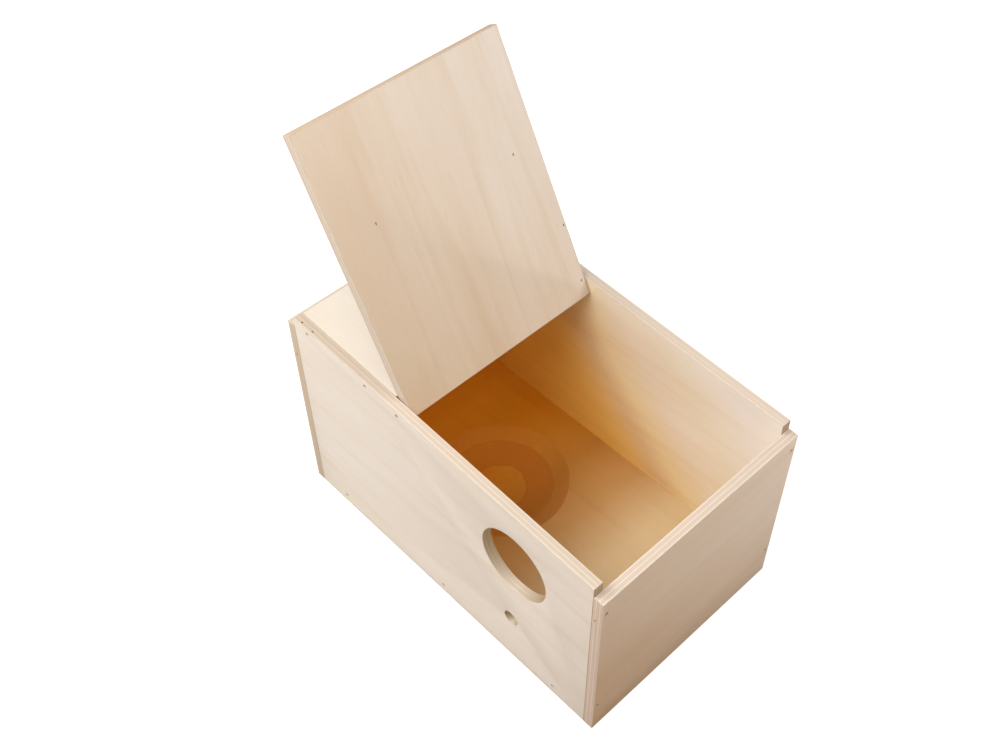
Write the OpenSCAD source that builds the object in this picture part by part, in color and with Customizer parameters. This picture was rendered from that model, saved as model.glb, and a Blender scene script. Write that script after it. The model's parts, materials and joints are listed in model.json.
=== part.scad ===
// Plywood nest box for small cage birds, lying lengthways.
// Two side walls are capped by two end panels. A short roof is fixed over the nest end,
// and a long lid swings up on two nails and leans back against the edge of that roof.
//
// Frame: origin at the centre of the footprint, on the surface the box stands on.
// +X runs from the nest end to the lid end, -Y is the side with the entrance, +Z is up.
// The lid is drawn open, which is where its joint reads zero.

/* [Box] */
// Length over both end panels
box_l = 250; // [200:1:320]
// Clear width between the side walls
inner_w = 140; // [110:1:180]
// Height of the side walls at the nest end
nest_end_h = 152.5; // [135:0.5:190]
// Height of the side walls at the lid end
lid_end_h = 138.5; // [118:0.5:165]
// Thickness of the plywood sheet
ply = 6.5; // [5:0.1:9]

/* [Floor] */
// Thickness of the floor board
floor_t = 14; // [12:0.5:20]
// Width of the hollow that holds the eggs
hollow_d = 90; // [70:1:100]
// Depth of the hollow at its middle
hollow_depth = 11; // [6:0.5:11]
// Middle of the hollow, measured from the outside of the nest end
hollow_from_nest_end = 94; // [70:1:110]

/* [Entrance] */
// Diameter of the entrance hole
entrance_d = 48; // [32:1:60]
// Middle of the entrance, measured from the outside of the lid end
entrance_from_lid_end = 63; // [45:1:80]
// Height of the middle of the entrance
entrance_h = 97.5; // [80:0.5:100]
// Diameter of the hole that takes a perch
perch_d = 10; // [6:0.5:14]
// Middle of the perch hole, measured from the outside of the lid end
perch_from_lid_end = 65.5; // [45:0.5:80]
// Height of the middle of the perch hole
perch_h = 40.5; // [30:0.5:45]

/* [Roof and lid] */
// Distance from the nest end to the far edge of the fixed roof, measured down its slope
roof_l = 89; // [70:1:110]
// Length of lid that stands out past the lid end as a finger lip
lid_lip = 6.5; // [0:0.5:12]
// Gap between each edge of the lid and the wall beside it
lid_side_gap = 0.7; // [0.4:0.1:1.5]
// Gap left under the closed lid where it comes down on the end panel
lid_seat_gap = 0.2; // [0.1:0.05:0.5]

/* [Hinge] */
// Angle the lid swings through, from closed to leaning on the fixed roof
open_angle = 121; // [100:1:130]
// Diameter of the two nails that the lid swings on
pin_d = 1.6; // [1.2:0.1:2]
// Length of a hinge nail
pin_l = 20; // [16:1:26]
// Wood left between a hinge nail and the underside of the lid
pin_cover = 1.4; // [1.2:0.1:1.8]
// Radial clearance of a hinge nail in the lid
pin_running_fit = 0.05; // [0.02:0.01:0.1]
// Room for the lid's back edge to swing past the fixed roof
swing_gap = 0.4; // [0.3:0.05:0.8]
// Gap between the open lid and the edge that stops it
stop_gap = 0.1; // [0.05:0.05:0.3]

/* [Brads] */
// Diameter of the panel brads
brad_d = 1.4; // [1:0.1:1.8]
// Length of a brad
brad_l = 20; // [16:1:25]
// Height of the lower brads in the end panels
brad_low_h = 24; // [20:1:30]
// Distance of the upper brads below the top of the end panels
brad_top_drop = 11; // [8:1:20]
// Distance of the outer floor brads from the inside of the end panels
floor_brad_inset = 25; // [15:1:40]
// Distance of the roof brads from the nest end, and from the far edge of the fixed roof
roof_brad_inset = 19; // [10:1:25]
// How much wider than its shank a nail's head is
head_flare = 0.8; // [0.4:0.1:1.2]
// Thickness of a nail's head
head_t = 1; // [0.6:0.1:1.4]
// Depth of a nail's head below the surface of the wood
head_set = 0.3; // [0.1:0.1:0.8]
// Radial clearance of a driven nail
driven_fit = 0.02; // [0.01:0.01:0.03]

/* [Hidden] */

// Faces of a round bore or a nail
round_fn = 96;
nail_fn = 32;
// Amount by which a cutter passes through the face it cuts
past = 1;
// Depth left below a nail's point
tip_room = 0.3;

birch_face = "#e3cfb2";
birch_end = "#b89c7a";
birch_pale = "#f2e3cc";
birch_floor = "#c89a62";
nail_steel = "#8d8578";

sides = [-1, 1];
outer_w = inner_w + 2 * ply;
end_x = box_l / 2;
wall_x = end_x - ply;
roof_slope = atan((nest_end_h - lid_end_h) / box_l);

// Height of the side walls, and of the underside of a sheet laid level with them
function top_z(x) = nest_end_h - (nest_end_h - lid_end_h) * (x + end_x) / box_l;
function under_roof_z(x) = top_z(x) - ply / cos(roof_slope);

// The lid turns about a line a little below its middle. The line's distance from the
// fixed roof sets the angle at which the lid leans back on that roof's edge.
pin_drop = ply - pin_cover - pin_d / 2;
pin_from_roof = pin_drop * tan(open_angle / 2) + stop_gap;
pin_run = roof_l + pin_from_roof;
// The back edge is kept inside the circle that just clears the fixed roof
lid_tail = sqrt(pow(pin_from_roof - swing_gap, 2) - pow(pin_drop, 2));
lid_nose = box_l / cos(roof_slope) + lid_lip - pin_run;
lid_w = inner_w - 2 * lid_side_gap;

entrance_x = end_x - entrance_from_lid_end;
perch_x = end_x - perch_from_lid_end;
hollow_x = hollow_from_nest_end - end_x;
// Radius of the ball that cuts the hollow
hollow_r = (pow(hollow_d / 2, 2) + pow(hollow_depth, 2)) / (2 * hollow_depth);

// ---- placing ----

// A sheet given by its outline seen from the side, between two planes across the box
module side_outline(points, y_low, y_high)
    translate([0, y_high, 0])
        rotate([90, 0, 0])
            linear_extrude(y_high - y_low)
                polygon(points);

// Children are laid on the roof: X runs down the slope, and Z = 0 is the top face
module on_roof()
    translate([-end_x, 0, nest_end_h])
        rotate([0, roof_slope, 0])
            children();

// Children stand on the outside of a side wall, with Z pointing out of the wood
module on_side(side)
    translate([0, side * outer_w / 2, 0])
        rotate([-side * 90, 0, 0])
            children();

module at_hinge_nails(which = sides)
    for (side = which)
        on_roof()
            translate([pin_run, 0, -pin_drop])
                on_side(side)
                    children();

module at_roof_brads(which = sides)
    for (side = which, run = [roof_brad_inset, roof_l - roof_brad_inset])
        on_roof()
            translate([run, 0, -ply / 2])
                on_side(side)
                    children();

module at_floor_brads(which = sides)
    for (side = which, step = [-1, 0, 1])
        translate([step * (wall_x - floor_brad_inset), 0, floor_t / 2])
            on_side(side)
                children();

// end is 1 for the lid end and -1 for the nest end
module at_end_brads(end, which = sides)
    for (side = which, z = [brad_low_h, under_roof_z(end * end_x) - brad_top_drop])
        translate([end * end_x, side * (inner_w + ply) / 2, z])
            rotate([0, end * 90, 0])
                children();

// ---- nails and their holes, with Z = 0 at the surface of the wood ----

module nail(d, length)
    translate([0, 0, -head_set]) {
        translate([0, 0, -length])
            cylinder(d = d, h = length - head_t, $fn = nail_fn);
        translate([0, 0, -head_t])
            cylinder(d = d + head_flare, h = head_t, $fn = nail_fn);
    }

module nail_hole(d, length, fit) {
    depth = head_set + length + tip_room;
    translate([0, 0, -depth])
        cylinder(d = d + 2 * fit, h = depth + past, $fn = nail_fn);
    translate([0, 0, -head_set - head_t])
        cylinder(d = d + head_flare + 2 * fit, h = head_set + head_t + past, $fn = nail_fn);
}

module brad() nail(brad_d, brad_l);
module brad_hole() nail_hole(brad_d, brad_l, driven_fit);

// ---- panels ----

module wall_blank(side) {
    y_in = inner_w / 2;
    outline = [
        [-wall_x, 0],
        [wall_x, 0],
        [wall_x, top_z(wall_x)],
        [-wall_x, top_z(-wall_x)]
    ];
    side_outline(outline, side > 0 ? y_in : -y_in - ply, side > 0 ? y_in + ply : -y_in);
}

// Every nail that passes through or into the wall on one side
module wall_nail_holes(side) {
    at_hinge_nails([side]) nail_hole(pin_d, pin_l, driven_fit);
    at_roof_brads([side]) brad_hole();
    at_floor_brads([side]) brad_hole();
    at_end_brads(1, [side]) brad_hole();
    at_end_brads(-1, [side]) brad_hole();
}

module front_bore(x, z, d)
    translate([x, 0, z])
        on_side(-1)
            translate([0, 0, -ply - past])
                cylinder(d = d, h = ply + 2 * past, $fn = round_fn);

module front_wall()
    color(birch_face)
        difference() {
            wall_blank(-1);
            front_bore(entrance_x, entrance_h, entrance_d);
            front_bore(perch_x, perch_h, perch_d);
            wall_nail_holes(-1);
        }

module back_wall()
    color(birch_face)
        difference() {
            wall_blank(1);
            wall_nail_holes(1);
        }

// An end panel's top edge is cut to the slope of the sheet that lies on it
module end_panel(end, gap) {
    x_low = end > 0 ? wall_x : -end_x;
    x_high = x_low + ply;
    outline = [
        [x_low, 0],
        [x_high, 0],
        [x_high, under_roof_z(x_high) - gap],
        [x_low, under_roof_z(x_low) - gap]
    ];
    color(birch_end)
        difference() {
            side_outline(outline, -outer_w / 2, outer_w / 2);
            at_end_brads(end) brad_hole();
        }
}

module nest_end_panel() end_panel(-1, 0);
module lid_end_panel() end_panel(1, lid_seat_gap);

module floor_board()
    color(birch_floor)
        difference() {
            translate([-wall_x, -inner_w / 2, 0])
                cube([2 * wall_x, inner_w, floor_t]);
            translate([hollow_x, 0, floor_t + hollow_r - hollow_depth])
                sphere(r = hollow_r, $fn = 2 * round_fn);
            at_floor_brads() brad_hole();
        }

// The fixed roof lies between the side walls and starts where they end, so that the
// low top of the nest end panel is left open in front of it
module roof_panel() {
    start = ply * (1 + sin(roof_slope)) / cos(roof_slope);
    color(birch_pale)
        difference() {
            on_roof()
                translate([start, -inner_w / 2, -ply])
                    cube([roof_l - start, inner_w, ply]);
            at_roof_brads() brad_hole();
        }
}

module lid_panel()
    color(birch_face)
        difference() {
            on_roof()
                translate([pin_run, 0, -pin_drop])
                    rotate([0, -open_angle, 0])
                        translate([-lid_tail, -lid_w / 2, pin_drop - ply])
                            cube([lid_tail + lid_nose, lid_w, ply]);
            at_hinge_nails() nail_hole(pin_d, pin_l, pin_running_fit);
        }

// ---- nails ----

module hinge_nails() color(nail_steel) at_hinge_nails() nail(pin_d, pin_l);
module lid_end_brads() color(nail_steel) at_end_brads(1) brad();
module nest_end_brads() color(nail_steel) at_end_brads(-1) brad();
module floor_brads() color(nail_steel) at_floor_brads() brad();
module roof_brads() color(nail_steel) at_roof_brads() brad();

front_wall();
back_wall();
nest_end_panel();
lid_end_panel();
floor_board();
roof_panel();
lid_panel();
hinge_nails();
lid_end_brads();
nest_end_brads();
floor_brads();
roof_brads();
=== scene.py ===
# %% [markdown]
# A plywood nest box for small cage birds, lying lengthways with its lid leaning open.
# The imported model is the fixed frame: every board and nail already has its place and size in it.
# Here each board is modelled again with eased edges, drilled holes and splintered arrises, because
# a bare block has none of the small things that make a sheet of wood look cut and handled.

# %% Load the frame
import json
import math
import random

import bmesh
import bpy
from mathutils import Matrix, Vector


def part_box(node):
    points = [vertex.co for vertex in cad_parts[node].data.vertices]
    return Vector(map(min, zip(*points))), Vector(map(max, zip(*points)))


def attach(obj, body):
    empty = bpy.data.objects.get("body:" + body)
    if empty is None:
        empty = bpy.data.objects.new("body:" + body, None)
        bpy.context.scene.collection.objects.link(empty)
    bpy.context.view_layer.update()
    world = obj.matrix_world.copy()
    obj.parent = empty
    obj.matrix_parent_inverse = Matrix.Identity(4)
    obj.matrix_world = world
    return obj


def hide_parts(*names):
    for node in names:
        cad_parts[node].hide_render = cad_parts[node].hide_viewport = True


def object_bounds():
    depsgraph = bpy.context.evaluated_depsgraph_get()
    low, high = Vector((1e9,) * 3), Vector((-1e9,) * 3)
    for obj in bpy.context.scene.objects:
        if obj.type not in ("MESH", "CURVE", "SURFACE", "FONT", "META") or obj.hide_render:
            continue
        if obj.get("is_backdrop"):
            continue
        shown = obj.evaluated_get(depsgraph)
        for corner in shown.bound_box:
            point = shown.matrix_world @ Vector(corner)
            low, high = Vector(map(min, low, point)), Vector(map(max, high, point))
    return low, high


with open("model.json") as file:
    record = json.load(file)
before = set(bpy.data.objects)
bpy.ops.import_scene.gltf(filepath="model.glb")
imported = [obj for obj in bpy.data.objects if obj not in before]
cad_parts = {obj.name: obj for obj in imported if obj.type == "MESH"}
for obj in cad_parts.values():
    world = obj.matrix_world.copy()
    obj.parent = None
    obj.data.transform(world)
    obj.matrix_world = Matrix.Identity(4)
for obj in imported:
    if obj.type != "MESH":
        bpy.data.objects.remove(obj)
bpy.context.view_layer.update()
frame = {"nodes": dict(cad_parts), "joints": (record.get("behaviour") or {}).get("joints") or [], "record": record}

MM = 0.001
X = Vector((1, 0, 0))
Y = Vector((0, 1, 0))
Z = Vector((0, 0, 1))
print("nodes in the frame:", ", ".join(sorted(frame["nodes"])))

# %% [markdown]
# Measuring comes before modelling. A board is a block in its own three directions: along the
# grain, across it, and out through its better face. Reading how far a node reaches in those three
# directions gives a tilted board its true length, width and thickness, which a plain box can't.


# %% Measure the frame
def corners(node):
    """Every corner point of a node."""
    return [v.co for v in frame["nodes"][node].data.vertices]


def reach(node, axis):
    """How far a node reaches along an axis, as its lowest and highest value."""
    spread = [p.dot(axis) for p in corners(node)]
    return min(spread), max(spread)


def top_at(node, x):
    """Height of a node's top edge where it stands at x."""
    return max(p.z for p in corners(node) if abs(p.x - x) < 0.01 * MM)


wall_low, wall_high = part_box("front_wall")
ply = wall_high.y - wall_low.y
wall_fall = top_at("front_wall", wall_low.x) - top_at("front_wall", wall_high.x)
roof_slope = math.atan2(wall_fall, wall_high.x - wall_low.x)
print(f"sheet {ply / MM:.1f} mm thick, roof falls {math.degrees(roof_slope):.2f} degrees")

# %% [markdown]
# The lid turns about one line, and the frame says where that line is and how far the lid swings.
# Closed, the lid follows the slope of the roof, so the open lid points that swing further round.

# %% Directions of the boards
hinge = Vector(frame["joints"][0]["pos_m"])
swing = math.radians(frame["joints"][0]["range_deg"][1])
lid_lean = swing - roof_slope
down_roof = Vector((math.cos(roof_slope), 0, -math.sin(roof_slope)))
up_lid = Vector((math.cos(lid_lean), 0, math.sin(lid_lean)))

# Along the grain, across the grain, and out through the face that shows when the box is shut
GRAIN = {
    "front_wall": (X, Z, -Y),
    "back_wall": (-X, Z, Y),
    "nest_end_panel": (-Y, Z, -X),
    "lid_end_panel": (Y, Z, X),
    "floor_board": (X, Y, Z),
    "roof_panel": (down_roof, Y, down_roof.cross(Y)),
    "lid_panel": (up_lid, Y, up_lid.cross(Y)),
}
print(f"open lid stands {math.degrees(lid_lean):.1f} degrees round from level")

# %% [markdown]
# Operators act on whatever is selected, so every job starts by selecting one object alone.
# Inside edit mode the parts of the mesh are picked in code, by where they are or how they face.


# %% Selecting
def only(obj):
    """Selects one object and makes it the active one."""
    bpy.ops.object.select_all(action="DESELECT")
    obj.select_set(True)
    bpy.context.view_layer.objects.active = obj


def pick(obj, kind, test):
    """In edit mode, selects the vertices or faces that pass a test, and counts them."""
    bpy.ops.mesh.select_mode(type=kind)
    bpy.ops.mesh.select_all(action="DESELECT")
    shape = bmesh.from_edit_mesh(obj.data)
    parts = shape.verts if kind == "VERT" else shape.faces
    found = [part for part in parts if test(part)]
    for part in found:
        part.select_set(True)
    bmesh.update_edit_mesh(obj.data)
    return len(found)


def settle(obj):
    """Moves an object's place, turn and size into its mesh."""
    only(obj)
    bpy.ops.object.transform_apply(location=True, rotation=True, scale=True)
    return obj


def joined(parts, name):
    """Makes several objects into one."""
    bpy.ops.object.select_all(action="DESELECT")
    for part in parts:
        part.select_set(True)
    bpy.context.view_layer.objects.active = parts[0]
    if len(parts) > 1:
        bpy.ops.object.join()
    parts[0].name = name
    return parts[0]


# %% [markdown]
# A rough board is a cube stretched to the sheet's size and turned to its directions. The walls and
# end panels have tops that fall towards the lid end, so two top corners of the cube are lowered.
# That keeps each board to eight corners, which later cuts and bevels treat cleanly.


# %% Rough boards
def rough_board(node):
    """A square-edged board that fills a node."""
    axes = GRAIN[node]
    spans = [reach(node, axis) for axis in axes]
    middle = Vector()
    for (low, high), axis in zip(spans, axes):
        middle += axis * (low + high) / 2
    turn = Matrix(axes).transposed().to_euler()
    size = [high - low for low, high in spans]
    bpy.ops.object.select_all(action="DESELECT")
    bpy.ops.mesh.primitive_cube_add(size=1, location=middle, rotation=turn, scale=size)
    board = bpy.context.object
    board.name = node + "_board"
    return settle(board)


def fall_to_lid_end(board, node):
    """Lowers the top of a board towards the lid end, as its node's top is."""
    low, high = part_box(node)
    middle = (low + high) / 2
    drop = top_at(node, low.x) - top_at(node, high.x)
    only(board)
    bpy.ops.object.mode_set(mode="EDIT")
    pick(board, "VERT", lambda v: v.co.z > middle.z and v.co.x > middle.x)
    bpy.ops.transform.translate(value=(0, 0, -drop))
    bpy.ops.object.mode_set(mode="OBJECT")


boards = {node: rough_board(node) for node in GRAIN}
for upright in ("front_wall", "back_wall", "nest_end_panel", "lid_end_panel"):
    fall_to_lid_end(boards[upright], upright)
print("boards:", {node: len(board.data.vertices) for node, board in boards.items()})

# %% [markdown]
# The entrance and the perch hole are drilled straight through the front wall. Their centres and
# radii are read from the record. A cutting cylinder taken away by a Boolean gives a true round
# wall through the plies, and the bevel that follows can then ease its rim like any other edge.


# %% Drilling
def cut(board, cutter):
    """Takes one mesh out of another and throws the cutter away."""
    only(board)
    tool = board.modifiers.new("cut", "BOOLEAN")
    tool.operation = "DIFFERENCE"
    tool.object = cutter
    bpy.ops.object.modifier_apply(modifier=tool.name)
    bpy.data.objects.remove(cutter)


def facing(direction):
    """The turn that points an object's own Z along a direction."""
    return Vector(direction).to_track_quat("Z", "Y").to_euler()


def drill(board, mount, faces):
    """Drills a hole that the record lists, right through a board."""
    bpy.ops.object.select_all(action="DESELECT")
    bpy.ops.mesh.primitive_cylinder_add(
        vertices=faces,
        radius=mount["dims"]["r_mm"] * MM,
        depth=3 * ply,
        location=mount["pos_m"],
        rotation=facing(mount["axis"]),
    )
    cut(board, settle(bpy.context.object))


mounts = {mount["name"]: mount for mount in frame["record"]["mounts"]}
drill(boards["front_wall"], mounts["entrance_hole"], faces=128)
drill(boards["front_wall"], mounts["perch_hole"], faces=48)
print("front wall after drilling:", len(boards["front_wall"].data.polygons), "faces")

# %% [markdown]
# The egg hollow is a shallow dish routed into the floor. Its rim and depth are read from the
# floor's own mesh, and one ball of the right radius cuts it. The ball's pole points down, so its
# rings of faces lie level, like the path of a router, and the dish shades evenly all round.

# %% Egg hollow
floor_low, floor_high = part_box("floor_board")
clear_of_sides = 0.7 * floor_high.y
clear_of_ends = 0.9 * floor_high.x
dish = [
    p for p in corners("floor_board")
    if abs(p.y) < clear_of_sides and abs(p.x) < clear_of_ends and p.z > MM
]
dish_x = (min(p.x for p in dish) + max(p.x for p in dish)) / 2
dish_radius = (max(p.x for p in dish) - min(p.x for p in dish)) / 2
dish_depth = floor_high.z - min(p.z for p in dish)
ball_radius = (dish_radius**2 + dish_depth**2) / (2 * dish_depth)
bpy.ops.object.select_all(action="DESELECT")
bpy.ops.mesh.primitive_uv_sphere_add(
    segments=144,
    ring_count=216,
    radius=ball_radius,
    location=(dish_x, 0, floor_high.z - dish_depth + ball_radius),
)
cut(boards["floor_board"], settle(bpy.context.object))
print(f"hollow {2 * dish_radius / MM:.0f} mm wide and {dish_depth / MM:.1f} mm deep")

# %% [markdown]
# A board that has been sawn and sanded has no sharp edges left. A narrow bevel on every edge
# catches a thin line of light and leaves a fine groove where two boards meet. Three segments
# make it round enough at this size.

# %% Ease the edges
EASE = {node: 0.35 * MM for node in GRAIN}
EASE["floor_board"] = 0.25 * MM
EASE["lid_panel"] = 0.6 * MM
ARRIS_ANGLE = math.radians(24)


def ease(board, width):
    """Rounds every edge of a board a little."""
    only(board)
    arris = board.modifiers.new("arris", "BEVEL")
    arris.width = width
    arris.segments = 3
    arris.limit_method = "ANGLE"
    arris.angle_limit = ARRIS_ANGLE
    bpy.ops.object.modifier_apply(modifier=arris.name)


for node, board in boards.items():
    ease(board, EASE[node])
print("eased boards:", {node: len(board.data.polygons) for node, board in boards.items()})

# %% [markdown]
# Wire nails hold the box together: two thicker ones carry the lid, and thin brads hold the rest.
# One nail is modelled along its own Z, with a drawn point, a straight shank, a flared head and a
# chamfer round the head. The same shape made a little larger, with a tail that stands out of the
# wood, is the cutter for its hole. Every other nail is a copy.


# %% Nail shape
NAIL_SIDES = 32
TIP_SHARE = 0.12  # width of the drawn point, as a share of the shank
CHAMFER_SHARE = 0.3  # depth of the chamfer, as a share of the head's thickness
CROWN_SHARE = 0.86  # width of the head inside its chamfer, as a share of the head


def nail_shape(shank, length, head, head_thick, point=0.0, above=0.0):
    """A nail or a nail hole along -Z, with the top of its head at the origin."""
    bpy.ops.object.select_all(action="DESELECT")
    bpy.ops.mesh.primitive_cylinder_add(
        vertices=NAIL_SIDES,
        radius=shank / 2,
        depth=length - head_thick,
        location=(0, 0, -(length + head_thick) / 2),
    )
    made = settle(bpy.context.object)
    bpy.ops.object.mode_set(mode="EDIT")
    if point:
        pick(made, "FACE", lambda f: f.normal.z < -0.9)
        bpy.ops.transform.translate(value=(0, 0, point))
        bpy.ops.mesh.extrude_region_move(TRANSFORM_OT_translate={"value": (0, 0, -point)})
        bpy.ops.transform.resize(value=(TIP_SHARE, TIP_SHARE, 1))
    pick(made, "FACE", lambda f: f.normal.z > 0.9)
    bpy.ops.mesh.extrude_region_move()
    bpy.ops.transform.resize(value=(head / shank, head / shank, 1))
    if above:
        rise = head_thick + above
        bpy.ops.mesh.extrude_region_move(TRANSFORM_OT_translate={"value": (0, 0, rise)})
    else:
        chamfer = CHAMFER_SHARE * head_thick
        rise = head_thick - chamfer
        bpy.ops.mesh.extrude_region_move(TRANSFORM_OT_translate={"value": (0, 0, rise)})
        bpy.ops.mesh.extrude_region_move(TRANSFORM_OT_translate={"value": (0, 0, chamfer)})
        bpy.ops.transform.resize(value=(CROWN_SHARE, CROWN_SHARE, 1))
    bpy.ops.object.mode_set(mode="OBJECT")
    return made


# %% [markdown]
# The frame keeps all the nails of one kind in one node. Corners that lie close together round one
# line belong to one nail, so grouping them gives the middle, length and thickness of each.


# %% Find the nails
SAME_NAIL = 4 * MM


def nails_of(node, axis):
    """The nails of a node that run along an axis, each as a dict of its measures."""
    groups = []
    for p in corners(node):
        flat = p - axis * p.dot(axis)
        side = math.copysign(1, p.dot(axis))
        near = [g for g in groups if g["side"] == side and (g["flat"] - flat).length < SAME_NAIL]
        home = near[0] if near else None
        if home is None:
            home = {"side": side, "flat": flat, "points": []}
            groups.append(home)
        home["points"].append(p)
    return [measured(g, axis) for g in groups]


def measured(group, axis):
    """Head centre, outward direction and sizes of one nail."""
    points = group["points"]
    out = axis * group["side"]
    top = max(p.dot(out) for p in points)
    tip = min(p.dot(out) for p in points)
    low = Vector(min(p[i] for p in points) for i in range(3))
    high = Vector(max(p[i] for p in points) for i in range(3))
    middle = (low + high) / 2
    centre = middle - out * middle.dot(out)
    across = [(p - out * p.dot(out) - centre).length for p in points]
    shank = max(r for r, p in zip(across, points) if p.dot(out) < tip + 0.1 * MM)
    shoulder = [p.dot(out) for r, p in zip(across, points) if r > 1.1 * shank]
    return {
        "at": centre + out * top,
        "out": out,
        "length": top - tip,
        "shank": 2 * shank,
        "head": 2 * max(across),
        "head_thick": top - min(shoulder),
    }


NAIL_RUN = {
    "hinge_nails": Y,
    "roof_brads": Y,
    "floor_brads": Y,
    "lid_end_brads": X,
    "nest_end_brads": X,
}
nails = {node: nails_of(node, axis) for node, axis in NAIL_RUN.items()}
for node, found in nails.items():
    first = found[0]
    print(f"{node}: {len(found)}, {first['shank'] / MM:.2f} x {first['length'] / MM:.1f} mm")

# %% [markdown]
# Each kind of nail is modelled once and copied to every place in its node, and the copies are
# joined, so that one piece stands for one node. The nails are turned a little about their own
# length, as hammered nails are.


# %% Nails and their holes
def copies(pattern, places, name):
    """Copies one nail or cutter to every place, each with its own mesh, and joins them."""
    placed = []
    for count, place in enumerate(places):
        twin = pattern.copy()
        twin.data = pattern.data.copy()
        bpy.context.collection.objects.link(twin)
        spin = Matrix.Rotation(NAIL_TURN * count, 4, "Z")
        aim = Vector(place["out"]).to_track_quat("Z", "Y").to_matrix().to_4x4()
        twin.matrix_world = Matrix.Translation(place["at"]) @ aim @ spin
        placed.append(settle(twin))
    bpy.data.objects.remove(pattern)
    return joined(placed, name)


HOLE_EASE = 0.04 * MM
HOLE_SPARE = 0.3 * MM
POINT_LENGTH = 1.6  # of a nail's point, as a share of its shank
NAIL_TURN = 0.7  # from one nail to the next, in radians
ABOVE_WOOD = 2 * MM
metal = {}
hole_cutters = []
for node, places in nails.items():
    size = places[0]
    pattern = nail_shape(
        size["shank"],
        size["length"],
        size["head"],
        size["head_thick"],
        point=POINT_LENGTH * size["shank"],
    )
    metal[node] = copies(pattern, places, node + "_wire")
    drill_bit = nail_shape(
        size["shank"] + HOLE_EASE,
        size["length"] + HOLE_SPARE,
        size["head"] + HOLE_EASE,
        size["head_thick"],
        above=ABOVE_WOOD,
    )
    hole_cutters.append(copies(drill_bit, places, node + "_holes"))
print("nail pieces:", {node: len(piece.data.polygons) for node, piece in metal.items()})

# %% [markdown]
# Sawing tears small splinters out of the face veneer along an edge, and the inner plies of cheap
# birch sheet have gaps that show on a sawn edge as short dark slots. Both are real shape, so they
# are cut: a stretched, slightly lumpy ball is set in the wood at each place and taken away.


# %% Pits
dice = random.Random(7)
LUMPS = 0.2  # unevenness of a pit, as a share of its smallest size


def pit(at, axes, size):
    """A small lumpy cutter at a point, with its half sizes along three directions."""
    turn = Matrix(axes).transposed().to_euler()
    bpy.ops.object.select_all(action="DESELECT")
    bpy.ops.mesh.primitive_ico_sphere_add(
        subdivisions=2, radius=1, location=at, rotation=turn, scale=size
    )
    lump = settle(bpy.context.object)
    bpy.ops.object.mode_set(mode="EDIT")
    bpy.ops.mesh.select_all(action="SELECT")
    bpy.ops.transform.vertex_random(offset=LUMPS * min(size), seed=dice.randrange(1000))
    bpy.ops.object.mode_set(mode="OBJECT")
    return lump


def on_board(node, run, rise, depth):
    """A point on a board, from shares of its length and width and a share of its thickness."""
    place = Vector()
    for axis, share in zip(GRAIN[node], (run, rise, 1 - depth)):
        low, high = reach(node, axis)
        place += axis * (low + share * (high - low))
    return place


# %% [markdown]
# A core gap is a slot nearly one ply high that opens on a sawn edge. There are four: one on the
# front edge of each end panel, placed by a share of the panel's height, and two on the sloping top
# edge of the front wall, close to the nest end.

# %% Core gaps
GAP_REACH = 2.2 * MM  # how far a gap goes in from the edge
GAP_HALF_HEIGHT = 0.55 * MM

# The middles of three of the five plies, as shares of the sheet's thickness
SECOND_PLY = 0.3
MIDDLE_PLY = 0.5
FOURTH_PLY = 0.7


def cut_gap(node, at, length, along):
    """Cuts one core gap, its length along the edge that it opens on."""
    out = GRAIN[node][2]
    third = along.cross(out).normalized()
    gap_axes = (along, third, along.cross(third))
    cut(boards[node], pit(at, gap_axes, (length / 2, GAP_REACH, GAP_HALF_HEIGHT)))


gaps = [
    ("nest_end_panel", on_board("nest_end_panel", 1.0, 0.814, MIDDLE_PLY), 3.4 * MM, Z),
    ("lid_end_panel", on_board("lid_end_panel", 0.0, 0.852, FOURTH_PLY), 2.6 * MM, Z),
]
for run in (0.026, 0.066):
    on_top = on_board("front_wall", run, 1.0, SECOND_PLY)
    fall = (on_top.x - wall_low.x) * math.tan(roof_slope)
    on_top.z = top_at("front_wall", wall_low.x) - fall
    gaps.append(("front_wall", on_top, 1.6 * MM, down_roof))
for gap in gaps:
    cut_gap(*gap)
print("core gaps cut:", len(gaps))

# %% [markdown]
# Splinters sit along the top edges of the walls and end panels and round the lid, at uneven
# distances. Their sizes are drawn by lot from a range, always in the same order, so the boards
# come out the same each time.


# %% Splintered edges
def by_lot(low, high):
    """A length between two values in millimetres."""
    return dice.uniform(low, high) * MM


def splinter_edge(node, start, end, count):
    """Tears small splinters out of a straight edge that runs between two points."""
    run = (end - start).normalized()
    out = GRAIN[node][2]
    side = run.cross(out)
    cutters = []
    for step in range(count):
        at = start.lerp(end, (step + dice.uniform(0.2, 0.8)) / count)
        size = (by_lot(0.8, 2.6), by_lot(0.25, 0.5), by_lot(0.2, 0.4))
        at += side * by_lot(-0.12, 0.12) + out * by_lot(-0.12, 0.12)
        cutters.append(pit(at, (run, side, run.cross(side)), size))
    cut(boards[node], joined(cutters, "splinters"))


for node in ("front_wall", "back_wall"):
    for face in (0.0, 1.0):
        ends = []
        for x in (wall_low.x, wall_high.x):
            end_point = on_board(node, 0.5, 1.0, face)
            end_point.x = x
            end_point.z = top_at(node, x)
            ends.append(end_point)
        splinter_edge(node, ends[0], ends[1], 7)

for node in ("lid_end_panel", "nest_end_panel"):
    for face in (0.0, 1.0):
        ends = [on_board(node, run, 1.0, face) for run in (0.0, 1.0)]
        edge_top = top_at(node, ends[0].x)
        for end_point in ends:
            end_point.z = edge_top
        splinter_edge(node, ends[0], ends[1], 5)

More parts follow.
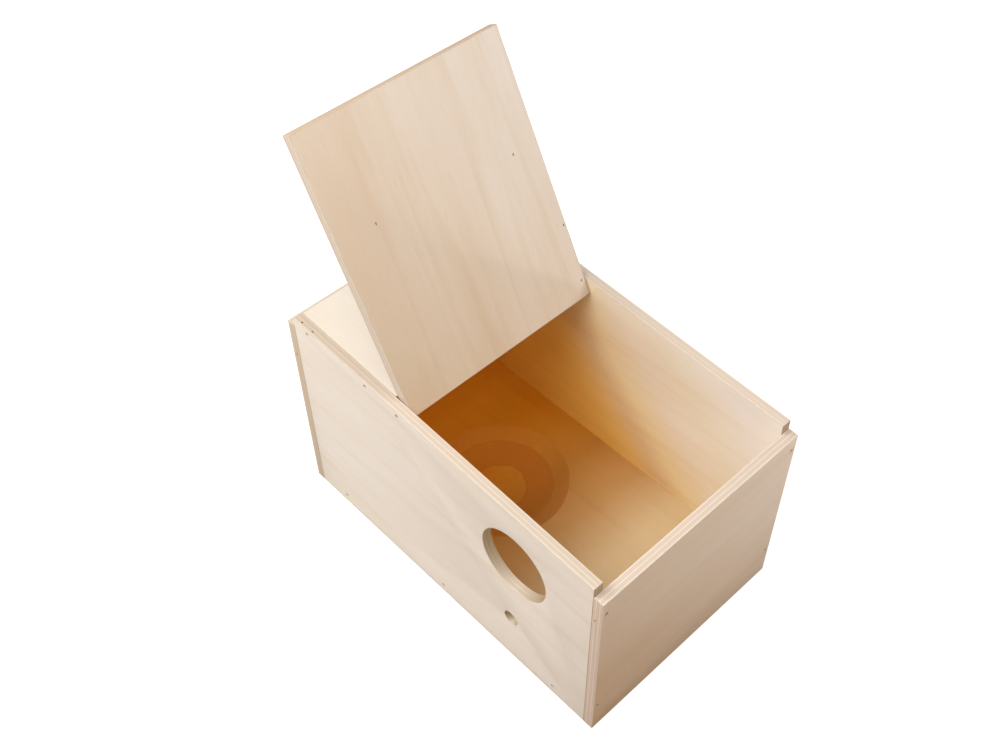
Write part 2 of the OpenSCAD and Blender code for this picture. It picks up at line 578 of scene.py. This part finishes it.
for run in (0.0, 1.0):
    for face in (0.0, 1.0):
        ends = [on_board("lid_panel", run, rise, face) for rise in (0.0, 1.0)]
        splinter_edge("lid_panel", ends[0], ends[1], 3)
for rise in (0.0, 1.0):
    ends = [on_board("lid_panel", run, rise, 1.0) for run in (0.0, 1.0)]
    splinter_edge("lid_panel", ends[0], ends[1], 5)
print("front wall after splinters:", len(boards["front_wall"].data.polygons), "faces")

# %% [markdown]
# Four pin knots mark the inner face of the lid. Each is a shallow pit, a millimetre wide and nearly
# two long, at its distance up the lid from the hinge line and its distance across from the middle.
# Their middles are kept, because the wood of a pin knot is also stained darker.

# %% Pin knots in the lid
PIN_KNOTS_MM = ((99.3, -43.8), (92.7, 50.9), (40.5, 67.3), (4.5, 66.4))
KNOT_HALVES = (0.9 * MM, 0.5 * MM, 0.5 * MM)
lid_out = GRAIN["lid_panel"][2]
lid_inner = reach("lid_panel", lid_out)[0]
to_inner = lid_out * (lid_inner - hinge.dot(lid_out))
knot_middles = [hinge + up_lid * up * MM + Y * over * MM + to_inner for up, over in PIN_KNOTS_MM]
knots = [pit(at, GRAIN["lid_panel"], KNOT_HALVES) for at in knot_middles]
cut(boards["lid_panel"], joined(knots, "knots"))
print("pin knots:", len(knots))

# %% [markdown]
# Last, the nail holes. They come after the bevel, because a bevel between such small faces would
# fold over itself. All the cutters are one mesh, so each board is cut once.

# %% Nail holes
all_holes = joined(hole_cutters, "nail_holes")
for node, board in boards.items():
    own = all_holes.copy()
    own.data = all_holes.data.copy()
    bpy.context.collection.objects.link(own)
    cut(board, own)
bpy.data.objects.remove(all_holes)
print("boards with nail holes:", {node: len(b.data.polygons) for node, b in boards.items()})

# %% [markdown]
# Holes and the hollow should shade round while the flat faces stay flat. Marking every edge
# sharper than a small angle does both: the facets of a drilled hole meet at about three degrees,
# and the steps of the bevel at thirty.


# %% Smooth the rounds
SHARP_ANGLE = math.radians(16)


def smooth_rounds(piece):
    """Shades small steps round and keeps real edges sharp."""
    only(piece)
    bpy.ops.object.shade_smooth_by_angle(angle=SHARP_ANGLE)


for piece in [*boards.values(), *metal.values()]:
    smooth_rounds(piece)

# %% [markdown]
# Wood grain has to follow the board and not the room: the lid leans, yet its grain runs up it.
# So every point carries its place in its own board: along the grain, across it, and its depth
# below the outer face. Every face carries how it was cut: sawn through the plies or not, how much
# it looks into end grain, and whether it faces the inside of the box. A last number marks the
# faces of the pin knots. One shader can read all this.


# %% Write the grain into the boards
FLAT = 0.999  # least cosine between a face and the sheet's face for it to count as part of it
SKIN = 0.2 * MM  # depth below the sheet's face that still counts as part of it
NEXT_BOARD = 0.41  # metres along the sheet from one board's grain to the next
KNOT_RADIUS = 1 * MM


def faces_inside(node, normal):
    """Whether a face of a fixed board looks into the box."""
    if node == "floor_board":
        return normal.z > 0.1
    return node != "lid_panel" and normal.dot(GRAIN[node][2]) < -0.9


def in_knot(node, place):
    """Whether a place on a board lies in one of the lid's pin knots."""
    return node == "lid_panel" and any((place - k).length < KNOT_RADIUS for k in knot_middles)


def mark_grain(board, node, shift):
    """Stores each point's place in its board, each face's cut, and which faces are knots."""
    along, across, out = GRAIN[node]
    back, face = reach(node, out)
    stores = board.data.attributes
    stores.new("grain", "FLOAT_VECTOR", "POINT")
    stores.new("cut", "FLOAT_VECTOR", "FACE")
    stores.new("knot", "FLOAT", "FACE")
    for point, place in zip(board.data.vertices, stores["grain"].data):
        depth = face - point.co.dot(out)
        place.vector = (point.co.dot(along) + shift, point.co.dot(across) - shift, depth)
    for polygon, kind in zip(board.data.polygons, stores["cut"].data):
        tilted = abs(polygon.normal.dot(out)) < FLAT
        within = back + SKIN < polygon.center.dot(out) < face - SKIN
        sawn = 1.0 if tilted or within else 0.0
        end = abs(polygon.normal.dot(along))
        kind.vector = (sawn, end, 1.0 if faces_inside(node, polygon.normal) else 0.0)
    for polygon, stain in zip(board.data.polygons, stores["knot"].data):
        stain.value = 1.0 if in_knot(node, polygon.center) else 0.0


for count, (node, board) in enumerate(boards.items()):
    mark_grain(board, node, NEXT_BOARD * count)
print("grain written on", len(boards), "boards")

# %% [markdown]
# Colours are chosen as they look on a screen and turned to the linear numbers light works in.
# One helper adds a shader node with its settings and its links, so that each material reads as a
# list of what it is made of.

# %% Shader helpers
FACTOR = 0
FIRST = 6
SECOND = 7


def linear(colour):
    """Turns an sRGB hex colour into linear red, green, blue and alpha."""
    channels = [int(colour[i:i + 2], 16) / 255 for i in (1, 3, 5)]
    flat = [c / 12.92 if c <= 0.04045 else ((c + 0.055) / 1.055) ** 2.4 for c in channels]
    return (*flat, 1.0)


def add(tree, kind, inputs=None, **settings):
    """Adds a node. An input that is a socket is linked, and any other is a value."""
    node = tree.nodes.new(kind)
    for name, value in settings.items():
        setattr(node, name, value)
    for name, value in (inputs or {}).items():
        if isinstance(value, bpy.types.NodeSocket):
            tree.links.new(value, node.inputs[name])
        else:
            node.inputs[name].default_value = value
    return node


def per(size_mm):
    """Pattern scale at which one feature is this many millimetres."""
    return 1 / (size_mm * MM)


def tone(tree, direction, start, finish, stops):
    """A colour that changes along a direction, from stops of a share of the way and a colour."""
    place = add(tree, "ShaderNodeTexCoord").outputs["Object"]
    height = add(tree, "ShaderNodeVectorMath", {0: place, 1: direction},
                 operation="DOT_PRODUCT").outputs["Value"]
    share = add(tree, "ShaderNodeMapRange",
                {"Value": height, "From Min": start, "From Max": finish}).outputs[0]
    ramp = add(tree, "ShaderNodeValToRGB", {"Fac": share})
    marks = ramp.color_ramp.elements
    for _ in stops[2:]:
        marks.new(0.5)
    for mark, (position, colour) in zip(marks, stops):
        mark.position = position
        mark.color = linear(colour)
    return ramp.outputs["Color"]


def shader(name):
    """A new material with its node tree and its surface shader."""
    material = bpy.data.materials.new(name)
    material.use_nodes = True
    tree = material.node_tree
    return material, tree, tree.nodes["Principled BSDF"]


# %% [markdown]
# Birch plywood is peeled from the log, so its face shows broad cloudy figure, faint long growth
# lines and very fine pores, all stretched along the grain. A sawn edge shows the plies: those
# with the grain along the edge are pale, those that end in it are darker, with a thin brown glue
# line between. The pores are finer than a picture can show, so they are drawn a little coarser.


# %% Birch face
def figure(tree, grain, long_mm, wide_mm, detail, distortion=0.0):
    """Noise stretched along the grain, one feature so many millimetres long and wide."""
    place = add(tree, "ShaderNodeVectorMath", {0: grain, 1: (per(long_mm), per(wide_mm), per(wide_mm))},
                operation="MULTIPLY").outputs[0]
    return add(tree, "ShaderNodeTexNoise",
               {"Vector": place, "Scale": 1, "Detail": detail, "Distortion": distortion}).outputs[0]


def share_of(tree, value, low, high, most):
    """Turns a pattern between two values into a share that grows from nothing to a most."""
    return add(tree, "ShaderNodeMapRange",
               {"Value": value, "From Min": low, "From Max": high, "To Max": most}).outputs[0]


def birch_face(tree, grain, pale):
    """Colour of a peeled face over its palest tone, and a height for its bump."""
    cloud = figure(tree, grain, 110, 34, detail=3)
    lines = figure(tree, grain, 160, 9, detail=2, distortion=0.6)
    pores = figure(tree, grain, 7, 0.7, detail=1)
    cloudy = share_of(tree, cloud, 0.3, 0.72, most=0.6)
    lined = share_of(tree, lines, 0.5, 0.75, most=0.5)
    pored = share_of(tree, pores, 0.6, 0.75, most=0.35)
    some = add(tree, "ShaderNodeMath", {0: cloudy, 1: lined}, operation="ADD").outputs[0]
    amount = add(tree, "ShaderNodeMath", {0: some, 1: pored},
                 operation="ADD", use_clamp=True).outputs[0]
    colour = add(tree, "ShaderNodeMix", {FACTOR: amount, FIRST: pale, SECOND: linear(FIGURE)},
                 data_type="RGBA", blend_type="MULTIPLY").outputs[2]
    height = add(tree, "ShaderNodeMath", {0: lines, 1: pored}, operation="SUBTRACT").outputs[0]
    return colour, height


# %% Sawn plies
WANDER = 0.3 * MM  # how far a ply strays from its even place in the sheet
GLUE_HALF = 0.14 * MM  # half the width of a glue line
GLUE_SHOWS = 0.7  # how much of a glue line's own colour shows at its middle


def plies_down(tree, grain, layers, thickness):
    """How many plies lie above a point, as the plies of real sheet wander a little."""
    place = add(tree, "ShaderNodeVectorMath", {0: grain, 1: (per(14), per(14), per(30))},
                operation="MULTIPLY").outputs[0]
    wander = add(tree, "ShaderNodeTexNoise", {"Vector": place, "Scale": 1, "Detail": 2}).outputs[0]
    shift = add(tree, "ShaderNodeMapRange",
                {"Value": wander, "To Min": -WANDER, "To Max": WANDER}).outputs[0]
    depth = add(tree, "ShaderNodeSeparateXYZ", {"Vector": grain}).outputs["Z"]
    wandered = add(tree, "ShaderNodeMath", {0: depth, 1: shift}, operation="ADD").outputs[0]
    return add(tree, "ShaderNodeMath", {0: wandered, 1: layers / thickness},
               operation="MULTIPLY").outputs[0]


def glue_lines(tree, layer, layers, thickness):
    """Where a glue line shows: between two plies, but not on the sheet's own surface."""
    to_glue = add(tree, "ShaderNodeMath", {0: layer, 1: 0.5}, operation="PINGPONG").outputs[0]
    inner_ply = add(tree, "ShaderNodeMath", {0: layer, 1: 0.5}, operation="GREATER_THAN").outputs[0]
    near_glue = add(tree, "ShaderNodeMapRange",
                    {"Value": to_glue, "From Max": GLUE_HALF * layers / thickness,
                     "To Min": GLUE_SHOWS, "To Max": 0.0}).outputs[0]
    return add(tree, "ShaderNodeMath", {0: near_glue, 1: inner_ply}, operation="MULTIPLY").outputs[0]


def sawn_plies(tree, grain, end, pale, layers, thickness, stain):
    """Colour of an edge sawn through the plies over the board's tone, and a height for its bump."""
    side_grain, end_grain, glue, crossing_and_shade = (linear(colour) for colour in stain)
    layer = plies_down(tree, grain, layers, thickness)
    whole = add(tree, "ShaderNodeMath", {0: layer}, operation="FLOOR").outputs[0]
    crossed = add(tree, "ShaderNodeMath", {0: whole, 1: 1.0}, operation="PINGPONG").outputs[0]
    both = add(tree, "ShaderNodeMath", {0: crossed, 1: end}, operation="SUBTRACT").outputs[0]
    ends_here = add(tree, "ShaderNodeMath", {0: both}, operation="ABSOLUTE").outputs[0]
    wood = add(tree, "ShaderNodeMix", {FACTOR: ends_here, FIRST: side_grain, SECOND: end_grain},
               data_type="RGBA").outputs[2]
    place = add(tree, "ShaderNodeVectorMath", {0: grain, 1: (per(5), per(5), per(0.6))},
                operation="MULTIPLY").outputs[0]
    fibre = add(tree, "ShaderNodeTexNoise", {"Vector": place, "Scale": 1, "Detail": 2}).outputs[0]
    rubbed = share_of(tree, fibre, 0.35, 0.7, most=0.35)
    fibrous = add(tree, "ShaderNodeMix", {FACTOR: rubbed, FIRST: wood, SECOND: end_grain},
                  data_type="RGBA").outputs[2]
    glued = glue_lines(tree, layer, layers, thickness)
    lined = add(tree, "ShaderNodeMix", {FACTOR: glued, FIRST: fibrous, SECOND: glue},
                data_type="RGBA").outputs[2]
    # Partly the darker look of end grain and partly painted shade, over edges that cross the grain
    shaded = add(tree, "ShaderNodeMix", {FACTOR: end, FIRST: lined, SECOND: crossing_and_shade},
                 data_type="RGBA", blend_type="MULTIPLY").outputs[2]
    colour = add(tree, "ShaderNodeMix", {FACTOR: 1.0, FIRST: pale, SECOND: shaded},
                 data_type="RGBA", blend_type="MULTIPLY").outputs[2]
    height = add(tree, "ShaderNodeMath", {0: fibre, 1: ends_here}, operation="SUBTRACT").outputs[0]
    return colour, height


# %% [markdown]
# The two are mixed by how each face was cut. Inside the box the faces carry painted shade: they
# deepen to a golden brown towards the foot of the closed nest end, the painted shade of that corner
# warmed as light bounced between wooden walls warms it. So the inner faces take their tone from a
# second ramp of painted shade, which rises with height and with distance from that end. The floor
# lies lower in the shade and has a ramp of painted shade of its own. Sawn edges outside share one
# tone, and the stain of a pin knot is multiplied over whatever it lies on.

# %% Tones of the wood
FIGURE = "#f6eee3"
KNOT = "#c9b296"
EDGE = "#dacbba"
# The painted shade inside the box changes along this direction: up and towards the lid end
INSIDE_SHADE_RISE = Vector((1, 0, 0.9))
INSIDE_SHADE_LOW = wall_low.dot(INSIDE_SHADE_RISE)
INSIDE_SHADE_HIGH = wall_high.x + INSIDE_SHADE_RISE.z * top_at("front_wall", wall_high.x)

# Each stop is a share of the way from the foot of the nest end to the top of the lid end. Both ramps
# are painted shade, deep and warm towards the nest end and pale towards the lid end.
WALL_PAINTED_SHADE = [
    (0.16, "#fbcb5c"),
    (0.37, "#fbcc6a"),
    (0.43, "#fbd17c"),
    (0.5, "#f2d2a1"),
    (0.56, "#fbe7b9"),
    (0.66, "#f8ead5"),
    (0.76, "#f2e7d1"),
    (0.9, "#f0e7de"),
]
FLOOR_PAINTED_SHADE = [
    (0.12, "#fbb12b"),
    (0.2, "#e79813"),
    (0.34, "#c28534"),
    (0.435, "#cb9d61"),
    (0.53, "#dfc69b"),
]

# %% [markdown]
# One function makes the sheet of every board. The tone of a face comes first, then its figure or
# its plies, and last the stain of a knot. The same patterns that colour the wood raise its bump
# and set its roughness, so that a dark pore is also a hollow that shines less.


# %% Plywood sheet
def plywood(name, outer_tone, inside_shade, layers, thickness, stain):
    """Sanded, unfinished plywood: mat, fine-grained, with its plies showing on every sawn edge."""
    material, tree, surface = shader(name)
    grain = add(tree, "ShaderNodeAttribute", attribute_name="grain").outputs["Vector"]
    how_cut = add(tree, "ShaderNodeAttribute", attribute_name="cut").outputs["Vector"]
    kinds = add(tree, "ShaderNodeSeparateXYZ", {"Vector": how_cut}).outputs
    outer = tone(tree, *outer_tone)
    # Painted shade: the inner faces deepen and warm towards the foot of the nest end
    inner = tone(tree, INSIDE_SHADE_RISE, INSIDE_SHADE_LOW, INSIDE_SHADE_HIGH, inside_shade)
    pale = add(tree, "ShaderNodeMix", {FACTOR: kinds["Z"], FIRST: outer, SECOND: inner},
               data_type="RGBA").outputs[2]
    face, face_height = birch_face(tree, grain, pale)
    edge_pale = add(tree, "ShaderNodeMix", {FACTOR: kinds["Z"], FIRST: linear(EDGE), SECOND: inner},
                    data_type="RGBA").outputs[2]
    edge, edge_height = sawn_plies(tree, grain, kinds["Y"], edge_pale, layers, thickness, stain)
    wood = add(tree, "ShaderNodeMix", {FACTOR: kinds["X"], FIRST: face, SECOND: edge},
               data_type="RGBA").outputs[2]
    knot = add(tree, "ShaderNodeAttribute", attribute_name="knot").outputs["Fac"]
    stained = add(tree, "ShaderNodeMix", {FACTOR: knot, FIRST: wood, SECOND: linear(KNOT)},
                  data_type="RGBA", blend_type="MULTIPLY").outputs[2]
    height = add(tree, "ShaderNodeMix", {0: kinds["X"], 2: face_height, 3: edge_height}).outputs[0]
    bump = add(tree, "ShaderNodeBump", {"Height": height, "Strength": 0.25, "Distance": 0.15 * MM})
    rough = add(tree, "ShaderNodeMapRange", {"Value": height, "To Min": 0.66, "To Max": 0.52}).outputs[0]
    tree.links.new(stained, surface.inputs["Base Color"])
    tree.links.new(rough, surface.inputs["Roughness"])
    tree.links.new(bump.outputs[0], surface.inputs["Normal"])
    return material


# %% [markdown]
# No two sheets match: one veneer is paler than another. So each board has a direction with a tone
# at either end of it, and its own colours for the plies of its sawn edges. The end tones are partly
# the sheet's own colour and partly painted shade: the lid end panel is darker towards its foot and
# front edge, and the lid towards its hinge and front edge.

# %% Materials of the boards
# A direction over each board's outer face, and the tones at its near and far end: partly the
# sheet's own colour and partly painted shade
SHEET_TONES_AND_SHADE = {
    "front_wall": (X, "#f1e6da", "#e1d3c6"),
    "back_wall": (X, "#efe2d2", "#efe2d2"),
    "nest_end_panel": (Y, "#eddfcc", "#eddfcc"),
    "lid_end_panel": (Y + Z, "#b8946e", "#ecd9c7"),
    "roof_panel": (X, "#e5dbcc", "#e5ddd3"),
    "lid_panel": (up_lid + 2 * Y, "#d3b99b", "#e4d6c8"),
}

# What the tone of a sawn edge is multiplied by: in side grain, in end grain, in glue, and once more
# over the whole of an edge that crosses the grain of the face. That last one is partly the darker
# look of end grain and partly painted shade, darkest on the walls, whose sawn ends lie in shade.
EDGE_STAIN_AND_SHADE = {
    "front_wall": ("#ffffff", "#f3ece5", "#c9bcae", "#ccc2a6"),
    "back_wall": ("#ffffff", "#f8f2ec", "#d6cabe", "#d2beb0"),
    "nest_end_panel": ("#ffffff", "#f8f2ea", "#ece3d8", "#f4ede4"),
    "lid_end_panel": ("#ffffff", "#f5ece5", "#c4b09c", "#f8f1ef"),
    "roof_panel": ("#ffffff", "#f0e6da", "#dccfc0", "#efe6da"),
    "lid_panel": ("#ffffff", "#f3eae0", "#e2d6c8", "#f1e8de"),
    "floor_board": ("#ffffff", "#efdcb2", "#e4ca98", "#f4e8d8"),
}
WALL_PLIES = 5
FLOOR_PLIES = 3
floor_thick = floor_high.z - floor_low.z
for node, (direction, near, far) in SHEET_TONES_AND_SHADE.items():
    outer_tone = (direction, *reach(node, direction), [(0, near), (1, far)])
    sheet = plywood("birch_plywood_" + node, outer_tone, WALL_PAINTED_SHADE, WALL_PLIES, ply, EDGE_STAIN_AND_SHADE[node])
    boards[node].data.materials.append(sheet)
underside = (X, floor_low.x, floor_high.x, [(0, "#e8cfa8"), (1, "#e4c9a0")])
floor_sheet = plywood(
    "three_ply_floor", underside, FLOOR_PAINTED_SHADE, FLOOR_PLIES, floor_thick, EDGE_STAIN_AND_SHADE["floor_board"]
)
boards["floor_board"].data.materials.append(floor_sheet)
print("sheets:", len(boards))

# %% [markdown]
# Wire nails are plain drawn steel. A hammer leaves the head a little mottled, and the wood's
# moisture dulls it in patches, so both the tone and the roughness vary over a millimetre. The
# brads in the end panels are painted dark brown, as painted shade of their heads sunk in the
# half-shaded end panels.


# %% Nail steel
def drawn_steel(name, bright, dull, bare):
    """Drawn wire, dulled in patches, with a share of it still bare metal."""
    material, tree, surface = shader(name)
    place = add(tree, "ShaderNodeTexCoord").outputs["Object"]
    patch = add(tree, "ShaderNodeTexNoise", {"Vector": place, "Scale": per(0.8), "Detail": 3}).outputs[0]
    steel = add(tree, "ShaderNodeMix", {FACTOR: patch, FIRST: linear(bright), SECOND: linear(dull)},
                data_type="RGBA").outputs[2]
    rough = add(tree, "ShaderNodeMapRange", {"Value": patch, "To Min": 0.3, "To Max": 0.6}).outputs[0]
    bump = add(tree, "ShaderNodeBump", {"Height": patch, "Strength": 0.2, "Distance": 0.05 * MM})
    surface.inputs["Metallic"].default_value = bare
    tree.links.new(steel, surface.inputs["Base Color"])
    tree.links.new(rough, surface.inputs["Roughness"])
    tree.links.new(bump.outputs[0], surface.inputs["Normal"])
    return material


bright_wire = drawn_steel("bright_nail_wire", "#dcd6cc", "#b8ab9a", bare=1.0)
# Painted shade: the brads in the end panels are dark brown as if their heads lay in shade
shade_darkened_wire = drawn_steel("shade_darkened_nail_wire", "#6b5344", "#3f2b20", bare=0.2)
for node, piece in metal.items():
    piece.data.materials.append(shade_darkened_wire if node.endswith("end_brads") else bright_wire)

# %% [markdown]
# Every piece rides on its body of the frame, so the lid swings with its hinge. Each one stands
# for the node it fills.

# %% Ride on the frame
for node, board in boards.items():
    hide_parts(node)
    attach(board, "lid" if node == "lid_panel" else "box")
for node, piece in metal.items():
    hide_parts(node)
    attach(piece, "box")

# %% [markdown]
# The box stands on a plain white table in a plain white room. The table and the room look white
# to the camera, but to the light they are only mid grey, so that they don't throw light up the
# walls and wash out the shade inside the box.


# %% Table and background
WHITE = (1, 1, 1, 1)


def pale_table():
    """A plain table that reads white and throws back little light."""
    material, tree, surface = shader("white_table")
    surface.inputs["Base Color"].default_value = linear("#b8b4ae")
    surface.inputs["Roughness"].default_value = 0.9
    ray = add(tree, "ShaderNodeLightPath").outputs["Is Camera Ray"]
    glow = add(tree, "ShaderNodeEmission", {"Color": WHITE, "Strength": 0.72}).outputs[0]
    both = add(tree, "ShaderNodeAddShader", {0: surface.outputs[0], 1: glow}).outputs[0]
    seen = add(tree, "ShaderNodeMixShader", {0: ray, 1: surface.outputs[0], 2: both}).outputs[0]
    tree.links.new(seen, tree.nodes["Material Output"].inputs["Surface"])
    return material


bpy.ops.object.select_all(action="DESELECT")
bpy.ops.mesh.primitive_plane_add(size=24, location=(0, 0, -0.2 * MM))
table = bpy.context.object
table.name = "table"
table.data.materials.append(pale_table())
table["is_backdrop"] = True

world = bpy.data.worlds.new("studio")
bpy.context.scene.world = world
world.use_nodes = True
sky = world.node_tree
sky_ray = add(sky, "ShaderNodeLightPath").outputs["Is Camera Ray"]
sky_glow = add(sky, "ShaderNodeMapRange",
               {"Value": sky_ray, "To Min": 0.30, "To Max": 1.02}).outputs[0]
sky.links.new(sky_glow, sky.nodes["Background"].inputs["Strength"])
sky.nodes["Background"].inputs["Color"].default_value = WHITE

# %% [markdown]
# Five soft lights surround the box. The main one stands high on the left of the entrance side, one
# stands before that side and one behind the box, and two weaker ones lift the lid end and the
# tops. So the tops are the brightest, then the entrance side, and the lid end is in half shade.


# %% Lights
def softbox(name, place, aim, size, power):
    """A square soft light that shines from a place towards a point."""
    lamp = bpy.data.lights.new(name, "AREA")
    lamp.size = size
    lamp.energy = power
    holder = bpy.data.objects.new(name, lamp)
    holder.location = place
    holder.rotation_euler = (Vector(aim) - Vector(place)).to_track_quat("-Z", "Y").to_euler()
    holder.visible_camera = False
    bpy.context.scene.collection.objects.link(holder)
    return holder


box_low, box_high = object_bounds()
middle = (box_low + box_high) / 2

# Place and size in metres, power in watts
SOFTBOXES = {
    "left_high": ((-1.0, -0.9, 1.3), 0.9, 15.5),
    "front_high": ((0.0, -1.1, 1.35), 0.9, 12),
    "back_right": ((1.3, 1.0, 0.8), 0.9, 12.5),
    "right_high": ((1.1, -0.7, 1.4), 0.9, 3.5),
    "overhead": ((0.0, -0.1, 1.5), 1.2, 5),
}
for name, (place, size, power) in SOFTBOXES.items():
    softbox(name, place, middle, size, power)
print("lights:", ", ".join(SOFTBOXES))

# %% [markdown]
# The camera stands high over the corner between the entrance side and the lid end, and looks down
# along a line that leans slightly, as a hand-held camera does.

# %% Camera
look = Vector((-0.48709, 0.44801, -0.74969)).normalized()
roll = math.radians(-1.098)
level_right = look.cross(Z).normalized()
level_up = level_right.cross(look)
right = level_right * math.cos(roll) + level_up * math.sin(roll)
up = level_up * math.cos(roll) - level_right * math.sin(roll)

lens = bpy.data.cameras.new("camera")
lens.lens = 44.32
lens.sensor_width = 36
lens.clip_start = 0.01
lens.clip_end = 100
camera = bpy.data.objects.new("camera", lens)
camera.location = (0.3213, -0.3221, 0.6524)
camera.rotation_euler = Matrix((right, up, -look)).transposed().to_euler()
bpy.context.scene.collection.objects.link(camera)
bpy.context.scene.camera = camera
bpy.context.scene.view_settings.view_transform = "Standard"
print("camera at", [round(c, 3) for c in camera.location])
